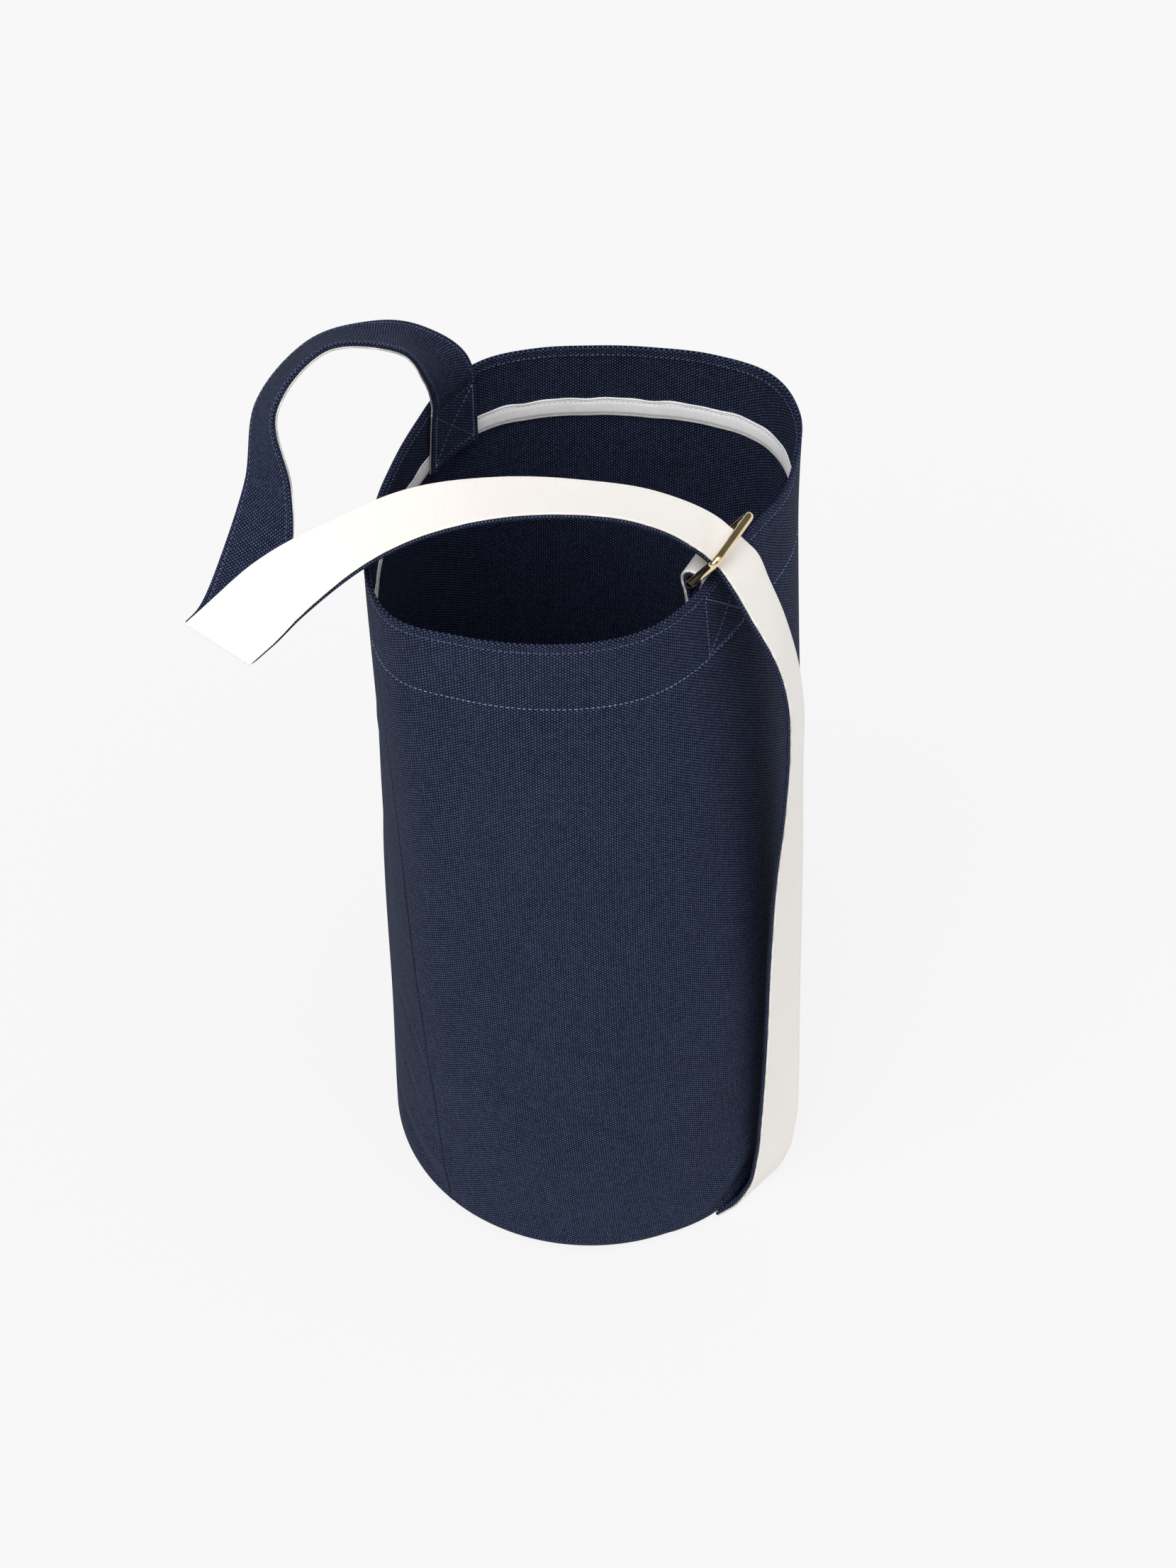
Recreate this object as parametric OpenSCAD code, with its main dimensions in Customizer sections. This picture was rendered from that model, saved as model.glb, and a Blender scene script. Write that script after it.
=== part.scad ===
// Cylindrical canvas laundry bag with an open oval mouth, a ring and one long carrying strap.
// Millimetres, +Z up. The origin is on the floor at the middle of the round base.
// +X points at the ring, and the two side seams are near -Y and +Y.

/* [Bag] */
// Height of the rim above the floor
bag_h = 500; // [470:1:520]
// Outer radius of the round wall at the base
base_r = 119.4; // [117:0.1:121]
// Radius of the rounded lower edge
edge_r = 12; // [8:1:14]
// Thickness of the canvas panels
panel_t = 1.5; // [1:0.1:1.8]
// Thickness of the facing turned in at the rim
facing_t = 1.2; // [0.8:0.1:1.4]
// Depth of the facing below the rim
facing_h = 45; // [38:1:48]
// Thickness of the binding tapes
tape_t = 0.5; // [0.4:0.1:0.6]
// Width of the binding tapes
tape_w = 12.5; // [10:0.5:15]

/* [Strap] */
// Width of the strap
strap_w = 40; // [36:0.5:40]
// Thickness of each of the strap's two layers
ply_t = 1.7; // [1.2:0.1:1.8]
// Length of the sewn end inside the wall
sewn_h = 47; // [40:1:52]

/* [Ring] */
// Radius of the ring's wire
wire_r = 2.4; // [2:0.1:2.5]
// Inner width of the ring, along its bars
ring_in_w = 37.8; // [37.4:0.1:39]
// Distance between the two long bars, centre to centre
ring_pitch = 25; // [24:0.5:26]
// Centre radius of the ring's corners
ring_corner = 3.4; // [3:0.1:3.4]
// Lean of the ring away from upright
ring_lean = 35; // [34:0.5:37]
// Width of the tab that holds the ring, below the rim
tab_w = 40; // [36:0.5:40]

/* [Hidden] */
// Gap left between sewn layers
gap = 0.05;
// Gap left between the two panels at a side seam, in degrees of turn
seam_gap = 0.05;
// Columns across half of the bag
columns = 30;
// Outer radius of the rim at each 15 degrees from +X towards +Y
rim_r = [91.5, 87.5, 91.5, 102, 113, 127.5, 135.5, 129, 121.5, 119, 120, 121,
    115, 107.5, 106, 109.5, 117, 131.5, 142, 133, 125.5, 119.5, 113.5, 102.5];
rim_step = 15;
// Angle of the side seam near -Y at the rim, and how far it turns on its way to the base
seam_rim = -98;
seam_turn = 10;

// Smooth curve between b and c, u from 0 to 1, with the neighbours a and d
function smooth(a, b, c, d, u) =
    b + u * (c - a + u * (2 * a - 5 * b + 4 * c - d + u * (3 * b - a - 3 * c + d))) / 2;
function rim_at(turn) =
    let (k = floor(turn / rim_step), n = len(rim_r), i = (k % n + n) % n)
    smooth(rim_r[(i + n - 1) % n], rim_r[i], rim_r[(i + 1) % n], rim_r[(i + 2) % n], turn / rim_step - k);
// The mouth's wide stretches flare slowly from the base, and its narrow ones draw in only near the rim
function mouth_share(z, power) = pow(max(0, min(1, z / bag_h)), power);
function wall_r(turn, z) = let (off = rim_at(turn) - base_r)
    base_r + max(off, 0) * mouth_share(z, 1.4) + min(off, 0) * mouth_share(z, 3.6);
function seam_at(z) = seam_rim + seam_turn * pow(1 - max(0, min(1, z / bag_h)), 3);

// One height on the wall's profile: [height, angle round the lower edge]
function rows(low, high, count) = [for (k = [0:count]) [low + (high - low) * k / count, 0]];
edge_rows = [for (a = [90:-18:18]) [edge_r, a]];
// Facing, its tape and the panels share their rows at the rim, so that they lie on each other cleanly
tape_top = bag_h - facing_h + tape_w - 2;
facing_rows = [for (z = [bag_h - facing_h, tape_top, (tape_top + bag_h) / 2, bag_h]) [z, 0]];
wall_rows = concat(edge_rows, rows(edge_r, 100, 4), rows(130, bag_h - facing_h - 28, 10), facing_rows);

// Point of the wall at a turn and a row, moved inwards by depth
function wall_point(turn, row, depth) =
    let (r = wall_r(turn, row[0]) - edge_r + (edge_r - depth) * cos(row[1]),
         z = row[0] - (edge_r - depth) * sin(row[1]))
    [r * cos(turn), r * sin(turn), z];

// Closed solid between two grids of points, n rows of m points in each
module shell(outer, inner, n, m) {
    k = n * m;
    sheet = [for (i = [0:n - 2], j = [0:m - 2]) [i * m + j, i * m + j + 1, i * m + m + j + 1, i * m + m + j]];
    border = concat(
        [for (j = [0:m - 2]) [j, j + 1]],
        [for (i = [0:n - 2]) [i * m + m - 1, i * m + 2 * m - 1]],
        [for (j = [m - 1:-1:1]) [(n - 1) * m + j, (n - 1) * m + j - 1]],
        [for (i = [n - 1:-1:1]) [i * m, i * m - m]]);
    polyhedron(concat(outer, inner), concat(
        [for (q = sheet) [q[0], q[2], q[1]]],
        [for (q = sheet) [q[0], q[3], q[2]]],
        [for (q = sheet) [q[0] + k, q[1] + k, q[2] + k]],
        [for (q = sheet) [q[0] + k, q[2] + k, q[3] + k]],
        [for (e = border) [e[0], e[1], e[1] + k]],
        [for (e = border) [e[0], e[1] + k, e[0] + k]]));
}

// Piece of cloth that follows the wall. from and to are turns counted from the -Y seam
module cloth(from, to, list, near, far, cols = columns) {
    function grid(depth) = [for (row = list, j = [0:cols])
        wall_point(seam_at(row[0]) + from + (to - from) * j / cols, row, depth)];
    shell(grid(near), grid(far), len(list), cols + 1);
}

// Half of the bag: side 0 is the ring's half, side 1 is the sewn end's half
module half(side, list, near, far) {
    cloth(180 * side + seam_gap, 180 * side + 180 - seam_gap, list, near, far);
}

// Strap route: [x, y, z, turn of the width direction, its slope], from the rim to the base seam
route = [
    [-107.7, 1.9, 500.3, 106, 0],
    [-108.5, -1, 512, 112, 2],
    [-109, -17, 535, 140, 8],
    [-108, -47, 563, 168, -12],
    [-114, -85, 574, 160, -33],
    [-112, -121, 556, 158, -30],
    [-96, -136, 524, 180, -25],
    [-80, -161, 496, 203, -10],
    [-66, -190, 480, 200, 10],
    [-60, -203, 481.5, 198, 18],
    [-56, -193, 489, 194, 18],
    [-52, -170, 501, 175, 15],
    [-40, -138, 517, 159, 2],
    [-23, -106, 530, 142, 0],
    [4, -73, 538, 131, -9],
    [32, -46, 540, 124, -14],
    [60, -19, 534.5, 120, -16],
    [79.5, 2, 517.5, 111, -18],
    [87.8, 6.8, 509.8, 110, -17],
    [97.5, 10.5, 501.5, 113, -14],
    [108.5, 14, 483.5, 122, -9],
    [119, 19, 460, 128, -4],
    [125, 23, 434, 128, -1],
    [128.5, 25, 400, 125, 0],
    [129, 25.5, 355, 121, 0],
    [128, 26.5, 299, 113, 2],
    [127, 28.5, 242, 110, 2],
    [126, 31, 187, 107, 2],
    [125.5, 33, 131, 104, 2],
    [124.5, 35, 80, 101, 3],
    [124, 34.5, 42, 98, 1],
    [124, 28.5, 18, 97, -4],
    [121, 19, 5.4, 97, -4],
    [116.3, 10.5, 2.2, 98, 0]];
// Places on the route: where the loop, the drop and their bending ends start and stop
shoulder_end = 3;
loop_end = 15.6;
pass_start = 17.2;
pass_end = 18.9;
drop_start = 20.5;
drop_end = 29.6;
route_end = len(route) - 1;

function span(i) = norm([for (k = [0:2]) route[i + 1][k] - route[i][k]]);
// Rate of change of the route at point i, per millimetre
function rate(i) =
    i == 0 ? (route[1] - route[0]) / span(0) :
    i == route_end ? (route[i] - route[i - 1]) / span(i - 1) :
    let (a = span(i - 1), b = span(i))
    ((route[i] - route[i - 1]) * b / a + (route[i + 1] - route[i]) * a / b) / (a + b);
function on_route(t) =
    let (i = min(floor(t), route_end - 1), u = t - i, d = span(i))
    route[i] * (2 * u * u * u - 3 * u * u + 1) + rate(i) * d * (u * u * u - 2 * u * u + u)
    + route[i + 1] * (3 * u * u - 2 * u * u * u) + rate(i + 1) * d * (u * u * u - u * u);
function place(t) = let (p = on_route(t)) [p[0], p[1], p[2]];
function across(t) = let (p = on_route(t)) [cos(p[4]) * cos(p[3]), cos(p[4]) * sin(p[3]), sin(p[4])];
function along(t) =
    let (d = 0.02, v = place(min(t + d, route_end)) - place(max(t - d, 0)), w = across(t), q = v - w * (v * w))
    q / norm(q);
// Width of the strap, which the ring gathers a little where it passes through
gathered = 3.2;
function width_at(t) = strap_w - gathered * exp(-pow((t - 18) / 0.9, 4));
// Direction of the canvas side of the strap
function face(t) = cross(across(t), along(t));

// One layer of the strap between two places on the route, from height low to high off its middle
module ply(from, to, low, high, count) {
    function edge(t, side, h) = place(t) + across(t) * side * width_at(t) / 2 + face(t) * h;
    function grid(h) = [for (k = [0:count], s = [-1, 1]) edge(from + (to - from) * k / count, s, h)];
    shell(grid(low), grid(high), count + 1, 2);
}
module canvas_ply(from, to, count) {
    color("midnightblue") ply(from, to, 0, ply_t, count);
}
module twill_ply(from, to, count) {
    color("ivory") ply(from, to, -ply_t, 0, count);
}

// Panels and lining
module front_panel() {
    color("midnightblue") half(0, wall_rows, 0, panel_t);
}
module back_panel() {
    color("midnightblue") half(1, wall_rows, 0, panel_t);
}
module base_panel() {
    color("midnightblue") cylinder(h = panel_t, r = base_r - edge_r - 0.2, $fn = 96);
}
module front_facing() {
    color("darkslateblue") half(0, facing_rows, panel_t + gap, panel_t + gap + facing_t);
}
module back_facing() {
    color("darkslateblue") half(1, facing_rows, panel_t + gap, panel_t + gap + facing_t);
}
tape_rows = [for (z = [tape_top - tape_w, bag_h - facing_h, tape_top]) [z, 0]];
tape_depth = panel_t + facing_t + 2 * gap;
module front_facing_tape() {
    color("lightgrey") half(0, tape_rows, tape_depth, tape_depth + tape_t);
}
module back_facing_tape() {
    color("lightgrey") half(1, tape_rows, tape_depth, tape_depth + tape_t);
}
// Tape over a side seam and its folded allowance, inside, from above the base to under the facing tape
allowance_t = 0.8;
module seam_tape(side) {
    turn = 180 * side;
    half_turn = 3;
    list = rows(edge_r + 4, tape_top - tape_w - 1, 14);
    depth = panel_t + allowance_t;
    color("midnightblue") cloth(turn - half_turn, turn + half_turn, list, depth, depth + tape_t, 2);
}
module left_seam_tape() {
    seam_tape(0);
}
module right_seam_tape() {
    seam_tape(1);
}
module base_seam_tape() {
    r = base_r - edge_r - 0.2;
    color("lightgrey") translate([0, 0, panel_t + gap]) difference() {
        cylinder(h = tape_t, r = r, $fn = 96);
        translate([0, 0, -1]) cylinder(h = tape_t + 2, r = r - tape_w / 2, $fn = 96);
    }
}

// Sewn end of the strap, flat inside the wall near -X. Its canvas side faces the inside of the bag
sewn_turn = 16;
sewn_out = 102.3;
sewn_side = 31.5;
module sewn_ply(low, high) {
    rotate([0, 0, sewn_turn]) translate([-sewn_out - high, sewn_side - strap_w / 2, bag_h - sewn_h])
        cube([high - low, strap_w, sewn_h]);
}
module strap_end_canvas() {
    color("midnightblue") sewn_ply(-ply_t, 0);
}
module strap_end_twill() {
    color("ivory") sewn_ply(0, ply_t);
}

// Free length of the strap
module strap_shoulder_canvas() {
    canvas_ply(0, shoulder_end - 0.02, 14);
}
module strap_shoulder_twill() {
    twill_ply(0, shoulder_end - 0.02, 14);
}
module strap_loop_canvas() {
    canvas_ply(shoulder_end, loop_end, 76);
}
module strap_loop_twill() {
    twill_ply(shoulder_end, loop_end, 76);
}
module strap_neck_canvas() {
    canvas_ply(loop_end + 0.02, pass_start - 0.02, 8);
}
module strap_neck_twill() {
    twill_ply(loop_end + 0.02, pass_start - 0.02, 8);
}
module strap_pass_canvas() {
    canvas_ply(pass_start, pass_end, 8);
}
module strap_pass_twill() {
    twill_ply(pass_start, pass_end, 8);
}
module strap_bend_canvas() {
    canvas_ply(pass_end + 0.03, drop_start - 0.02, 8);
}
module strap_bend_twill() {
    twill_ply(pass_end + 0.03, drop_start - 0.02, 8);
}
module strap_drop_canvas() {
    canvas_ply(drop_start, drop_end, 32);
}
module strap_drop_twill() {
    twill_ply(drop_start, drop_end, 32);
}
module strap_foot_canvas() {
    canvas_ply(drop_end + 0.02, route_end, 16);
}
module strap_foot_twill() {
    twill_ply(drop_end + 0.02, route_end, 16);
}

// Ring and the tab that holds it. Local X runs along the bars and local Z is up
bar_turn = 110;
bar_dip = 2;
bar_pos = [80, 4.2, 498];
eye_r = wire_r + 0.35;
eye_w = 35.4;
tab_drop = 50;
slit = 0.1;
module at_bar() {
    translate(bar_pos) rotate([0, bar_dip, bar_turn]) children();
}
// Outline of one layer of the tab, from distance near to far off the slit and off the eye
module tab_outline(near, far) {
    difference() {
        union() {
            circle(r = eye_r + far, $fn = 48);
            for (s = [-1, 1])
                translate([s > 0 ? near + slit : -far - slit, -tab_drop]) square([far - near, tab_drop]);
        }
        circle(r = eye_r + near, $fn = 48);
        translate([-near - slit, -tab_drop - 1]) square([2 * (near + slit), tab_drop + 1]);
    }
}
// Front view of the tab, which narrows to go through the ring
tab_plan = [[-tab_w / 2, -tab_drop - 1], [tab_w / 2, -tab_drop - 1], [tab_w / 2, -20], [eye_w / 2, -7],
    [eye_w / 2, 10], [-eye_w / 2, 10], [-eye_w / 2, -7], [-tab_w / 2, -20]];
module tab_ply(near, far) {
    at_bar() intersection() {
        rotate([90, 0, 90]) linear_extrude(height = tab_w + 2, center = true) tab_outline(near, far);
        rotate([90, 0, 0]) linear_extrude(height = 20, center = true) polygon(tab_plan);
    }
}
module tab_canvas() {
    color("midnightblue") tab_ply(0, ply_t - gap);
}
module tab_twill() {
    color("ivory") tab_ply(ply_t, 2 * ply_t);
}

module ring() {
    half_w = ring_in_w / 2 + wire_r;
    color("palegoldenrod") at_bar() rotate([90 + ring_lean, 0, 0]) {
        for (y = [0, ring_pitch])
            translate([-half_w + ring_corner, y, 0]) rotate([0, 90, 0])
                cylinder(h = 2 * (half_w - ring_corner), r = wire_r, $fn = 32);
        for (x = [-half_w, half_w])
            translate([x, ring_corner, 0]) rotate([-90, 0, 0])
                cylinder(h = ring_pitch - 2 * ring_corner, r = wire_r, $fn = 32);
        for (x = [-1, 1], y = [0, 1])
            translate([x * (half_w - ring_corner), y > 0 ? ring_pitch - ring_corner : ring_corner, 0])
                rotate([0, 0, x > 0 ? (y > 0 ? 0 : 270) : (y > 0 ? 90 : 180)])
                    rotate_extrude(angle = 90, $fn = 32) translate([ring_corner, 0]) circle(r = wire_r, $fn = 32);
    }
}

front_panel();
back_panel();
base_panel();
front_facing();
back_facing();
front_facing_tape();
back_facing_tape();
left_seam_tape();
right_seam_tape();
base_seam_tape();
strap_end_canvas();
strap_end_twill();
strap_shoulder_canvas();
strap_shoulder_twill();
strap_loop_canvas();
strap_loop_twill();
strap_neck_canvas();
strap_neck_twill();
strap_pass_canvas();
strap_pass_twill();
strap_bend_canvas();
strap_bend_twill();
strap_drop_canvas();
strap_drop_twill();
strap_foot_canvas();
strap_foot_twill();
tab_canvas();
tab_twill();
ring();
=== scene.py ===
"""Looks of the canvas laundry bag: woven panels, taped facing, stitched two-colour strap, tab and ring.

Lengths are in millimetres until a mesh is made, and metres after that. The frame's axes are kept:
+Z up, +X towards the ring, the two side seams near -Y and +Y.
"""

import math

import bpy
import numpy as np
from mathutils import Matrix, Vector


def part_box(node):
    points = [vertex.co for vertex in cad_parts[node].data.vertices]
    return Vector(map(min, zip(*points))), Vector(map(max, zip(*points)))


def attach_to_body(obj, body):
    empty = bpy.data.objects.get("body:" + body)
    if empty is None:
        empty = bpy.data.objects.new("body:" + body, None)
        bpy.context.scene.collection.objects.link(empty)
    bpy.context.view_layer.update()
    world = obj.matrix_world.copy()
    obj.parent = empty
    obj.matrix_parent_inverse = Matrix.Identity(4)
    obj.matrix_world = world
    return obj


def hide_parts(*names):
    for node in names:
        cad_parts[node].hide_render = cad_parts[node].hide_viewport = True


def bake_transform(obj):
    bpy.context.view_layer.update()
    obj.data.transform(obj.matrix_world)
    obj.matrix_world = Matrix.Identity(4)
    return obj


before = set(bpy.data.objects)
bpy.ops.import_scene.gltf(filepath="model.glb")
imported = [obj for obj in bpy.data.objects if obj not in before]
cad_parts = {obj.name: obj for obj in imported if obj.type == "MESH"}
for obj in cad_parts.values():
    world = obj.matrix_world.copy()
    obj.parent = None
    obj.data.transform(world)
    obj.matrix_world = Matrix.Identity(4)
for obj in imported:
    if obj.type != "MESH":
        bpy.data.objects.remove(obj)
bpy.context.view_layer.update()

MM = 0.001

# Sizes of the bag, read from the frame or kept as in the part's source
BAG_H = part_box("front_facing")[1].z / MM
EDGE_R = 12.0
BASE_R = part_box("base_panel")[1].x / MM + EDGE_R + 0.2
BASE_SIDES = 180
PANEL_T = 1.5
FACING_H = BAG_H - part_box("front_facing")[0].z / MM
FACING_IN = 1.55
FACING_T = 1.2
TAPE_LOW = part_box("front_facing_tape")[0].z / MM
TAPE_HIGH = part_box("front_facing_tape")[1].z / MM
TAPE_IN = FACING_IN + FACING_T + 0.05
TAPE_T = 0.5
SEWN_IN = TAPE_IN + TAPE_T + 1.9
PER_DEGREE = math.pi * BASE_R / 180
RIM_R = np.array([91.5, 87.5, 91.5, 102, 113, 127.5, 135.5, 129, 121.5, 119, 120, 121,
                  115, 107.5, 106, 109.5, 117, 131.5, 142, 133, 125.5, 119.5, 113.5, 102.5])
RIM_STEP = 15.0

# Each half of the wall is turned a little and made a little shorter, so that the two don't meet at a seam
HALF_START = 0.003
HALF_SHARE = 0.99994

# Stitching, and the heights of the rows and of the two stitched boxes
STITCH_GAP = 2.9
STITCH_LONG = 2.3
STITCH_WIDE = 0.45
STITCH_HIGH = 0.42
STITCH_PROUD = 0.12
RIM_ROW = BAG_H - 4.6
FACING_ROW = BAG_H - FACING_H + 1.2
TAPE_ROW = TAPE_HIGH - 2.0
BOX_HIGH = BAG_H - 6.5
BOX_LOW = BAG_H - 42

# Strap. Each row of ROUTE is x, y, z, then the turn and the slope of the width direction in degrees.
STRAP_W = 40.0
TOP_PLY = 2.3
UNDER_PLY = 1.1
EDGE_ROW = 16.8
ROUTE = np.array([
    [-107.7, 1.9, 500.3, 106, 0], [-108.5, -1, 512, 112, 2], [-109, -17, 535, 140, 8],
    [-108, -47, 563, 168, -12], [-114, -85, 574, 160, -33], [-112, -121, 556, 158, -30],
    [-96, -136, 524, 180, -25], [-80, -161, 496, 203, -10], [-66, -190, 480, 200, 10],
    [-60, -203, 481.5, 198, 18], [-56, -193, 489, 194, 18], [-52, -170, 501, 175, 15],
    [-40, -138, 517, 159, 2], [-23, -106, 530, 142, 0], [4, -73, 538, 131, -9],
    [32, -46, 540, 124, -14], [60, -19, 534.5, 120, -16], [79.5, 2, 517.5, 111, -18],
    [87.8, 6.8, 509.8, 110, -17], [97.5, 10.5, 501.5, 113, -14], [108.5, 14, 483.5, 122, -9],
    [119, 19, 460, 128, -4], [125, 23, 434, 128, -1], [128.5, 25, 400, 125, 0],
    [129, 25.5, 355, 121, 0], [128, 26.5, 299, 113, 2], [127, 28.5, 242, 110, 2],
    [126, 31, 187, 107, 2], [125.5, 33, 131, 104, 2], [124.5, 35, 80, 101, 3],
    [124, 34.5, 42, 98, 1], [124, 28.5, 18, 97, -4], [121, 19, 5.4, 97, -4],
    [116.3, 10.5, 2.2, 98, 0]])

# Places on the route, counted in its rows
SHOULDER_END = 3.0
LOOP_MID = 9.0
LOOP_END = 15.6
PASS_START = 17.2
PASS_MID = 18.0
PASS_END = 18.9
DROP_START = 20.5
DROP_MID = 25.0
DROP_END = 29.6
ROUTE_END = len(ROUTE) - 1.0

# How much narrower the ring makes the strap, and where the strap's start leaves the wall
GATHERED = 3.2
SEWN_FREE = 506.0
SEWN_FADE = 12.0
SEWN_R = 112.0

# Ring's lower bar and the tab folded round it
BAR_TURN = 110.0
BAR_DIP = 2.0
BAR_AT = np.array([80.0, 4.2, 498.0])
EYE_R = 2.75
TAB_DROP = 50.0
TAB_W = 40.0
TAB_T = 3.3
EYE_W = 35.4
TAB_IN = TAPE_IN + 4.3


# ---------------------------------------------------------------- shapes

def rim_radius(turn):
    """Outer radius of the rim at a turn in degrees."""
    k = np.floor(turn / RIM_STEP).astype(int)
    u = turn / RIM_STEP - k
    a, b, c, d = (RIM_R[(k + i) % len(RIM_R)] for i in (-1, 0, 1, 2))
    return b + u * (c - a + u * (2 * a - 5 * b + 4 * c - d + u * (3 * b - a - 3 * c + d))) / 2


def mouth_share(z, power):
    """Share of the mouth's own shape that the wall has at a height."""
    return np.clip(z / BAG_H, 0, 1) ** power


def seam_turn(z):
    """Turn of the side seam near -Y at a height."""
    return -98 + 10 * (1 - np.clip(z / BAG_H, 0, 1)) ** 3


def groove(turn, z, ends, wide, deep):
    """A soft valley (or a ridge, if deep is negative) between two places [turn, z] on the wall."""
    (t0, z0), (t1, z1) = ends
    ax, az = (t1 - t0) * PER_DEGREE, z1 - z0
    px, pz = ((turn - t0 + 180) % 360 - 180) * PER_DEGREE, z - z0
    along = np.clip((px * ax + pz * az) / (ax * ax + az * az), 0, 1)
    off = np.hypot(px - along * ax, pz - along * az)
    fade = 0.35 + 0.65 * np.sin(math.pi * np.clip(0.1 + 0.8 * along, 0, 1))
    return deep * fade * np.exp(-(off / wide) ** 2)


# Valleys and ridges of the wall as groove() takes them: its two ends, its width and its depth
CREASES = [
    # the tuck where the strap pulls on the lower edge
    ([(10, 26), (-1, 12)], 3.4, 2.2), ([(-1, 12), (-16, 8)], 3.0, 1.2),
    ([(9, 48), (-6, 24)], 8.0, -2.4), ([(4, 6), (-18, 2)], 4.0, -1.8),
    # soft dents beside the seam near -Y
    ([(-108, 156), (-96, 122)], 5.0, 1.0), ([(-104, 160), (-92, 118)], 6.0, -0.9),
    ([(-120, 122), (-104, 82)], 6.0, 1.1), ([(-115, 124), (-98, 80)], 7.0, -0.8),
    ([(-126, 44), (-94, 22)], 7.0, 1.6), ([(-118, 62), (-92, 38)], 9.0, -1.2),
    # a small fold on the side's outline
    ([(-138, 352), (-118, 342)], 3.0, 1.5), ([(-140, 362), (-120, 354)], 4.0, -0.8),
    # long shallow waves on the side that faces -Y and +X
    ([(-84, 150), (-40, 128)], 12.0, 0.7), ([(-80, 84), (-30, 70)], 14.0, -0.6),
    ([(-70, 330), (-20, 290)], 22.0, 0.6), ([(-60, 250), (-10, 205)], 24.0, -0.6),
    # folds on the hidden side
    ([(70, 190), (118, 150)], 13.0, 1.3), ([(92, 96), (132, 60)], 12.0, -1.2),
    ([(150, 230), (196, 180)], 16.0, 1.1), ([(172, 110), (214, 84)], 15.0, -1.1),
    ([(38, 120), (62, 80)], 12.0, 0.9), ([(204, 330), (232, 268)], 18.0, 0.9),
]


def relief(turn, z):
    """How far the cloth lies inside the plain wall: creases, soft waves and the pull of the stitch rows."""
    a = np.radians(turn)
    soft = 0.45 * np.sin(3 * a + z / 61.0) * np.sin(2 * a - z / 83.0 + 1.0)
    soft += 0.25 * np.sin(9 * a + 0.6 + z / 47.0) * np.sin(z / 71.0 + 0.4 * np.cos(5 * a))
    soft += 0.08 * np.sin(17 * a + 2 * np.sin(z / 90.0)) * np.exp(-((z - 478) / 26.0) ** 2)
    total = soft * np.clip(z / 40.0, 0, 1)
    for ends, wide, deep in CREASES:
        total = total + groove(turn, z, ends, wide, deep)
    pucker = 0.10 * np.sin(a * 86) + 0.08 * np.sin(a * 133 + 1)
    for row in (RIM_ROW, FACING_ROW):
        total = total + (0.34 + pucker) * np.exp(-((z - row) / 1.3) ** 2)
    return total


def wall_radius(turn, z):
    """Plain radius of the wall. The mouth's wide stretches flare slowly from the base, and its narrow ones
    draw in only near the rim."""
    off = rim_radius(turn) - BASE_R
    return BASE_R + np.maximum(off, 0) * mouth_share(z, 1.4) + np.minimum(off, 0) * mouth_share(z, 3.6)


def wall_point(turn, z, depth, edge=0.0):
    """Point of the wall, depth inside its outer face. edge is the angle round the lower edge in degrees."""
    values = [np.asarray(v, float) for v in (turn, z, depth, edge)]
    turn, z, depth, edge = np.broadcast_arrays(*values)
    lift = np.where(edge > 0, z - EDGE_R * np.sin(np.radians(edge)), z)
    inset = depth + relief(turn, lift) * np.cos(np.radians(edge)) ** 0.5
    e = np.radians(edge)
    r = wall_radius(turn, z) - EDGE_R + (EDGE_R - inset) * np.cos(e)
    return np.stack([r * np.cos(np.radians(turn)), r * np.sin(np.radians(turn)),
                     z - (EDGE_R - inset) * np.sin(e)], -1)


def spread(low, high, step, dense=(), near=3.0, fine=0.35):
    """Values from low to high, step apart, and closer together near the dense ones."""
    parts = [np.linspace(low, high, max(2, int(round((high - low) / step)) + 1))]
    for d in dense:
        parts.append(np.arange(max(low, d - near), min(high, d + near), fine))
    values = np.unique(np.round(np.concatenate(parts), 3))
    keep = [values[0]]
    for v in values[1:]:
        if v - keep[-1] > 0.2:
            keep.append(v)
    keep[-1] = high
    return np.array(keep)


# ---------------------------------------------------------------- meshes

def mesh_object(name, points, faces, uvs, material):
    """A mesh from millimetre points. uvs has one pair per point, in millimetres of cloth."""
    mesh = bpy.data.meshes.new(name)
    mesh.from_pydata((np.asarray(points) * MM).tolist(), [], faces)
    if uvs is not None:
        layer = mesh.uv_layers.new(name="cloth")
        index = np.zeros(len(mesh.loops), int)
        mesh.loops.foreach_get("vertex_index", index)
        layer.data.foreach_set("uv", (np.asarray(uvs, float)[index] * MM).astype(np.float32).ravel())
    mesh.polygons.foreach_set("use_smooth", [True] * len(mesh.polygons))
    mesh.materials.append(material)
    mesh.update()
    obj = bpy.data.objects.new(name, mesh)
    bpy.context.scene.collection.objects.link(obj)
    return obj


def ring_faces(n, m, flip):
    """Quads of a grid of n rows of m points, whose last row joins the first."""
    i, j = np.meshgrid(np.arange(n), np.arange(m - 1), indexing="ij")
    a = (i * m + j).ravel()
    b = (((i + 1) % n) * m + j).ravel()
    quads = np.stack([a, a + 1, b + 1, b], -1)
    return (quads[:, ::-1] if flip else quads).tolist()


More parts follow.
